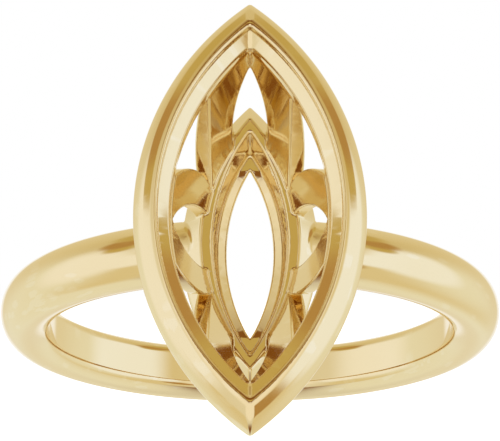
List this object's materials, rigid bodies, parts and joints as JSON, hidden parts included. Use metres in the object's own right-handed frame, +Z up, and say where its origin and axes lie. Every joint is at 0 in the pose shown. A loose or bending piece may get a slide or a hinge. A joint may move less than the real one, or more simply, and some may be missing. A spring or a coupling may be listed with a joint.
{
  "type": "bezel set ring mounting",
  "caption": "Yellow gold ring mounting: a marquise bezel with a stepped seat, on an openwork leaf gallery and a small marquise base, over a round plain shank. No stone is set.",
  "frame": {"origin": "middle of the ring's footprint, on the surface that it lies on", "axes": "+Z up; the ring lies on its side, with its head towards -Y and the far end of the shank towards +Y; the finger hole's axis leans 16.7 degrees from +Z towards +Y, and X is across the head"},
  "size_m": [0.0214, 0.0268, 0.0163],
  "materials": {
    "gold": "polished 14k yellow gold"
  },
  "bodies": {
    "root": {"ring_mounting": "gold"}
  },
  "joints": []
}
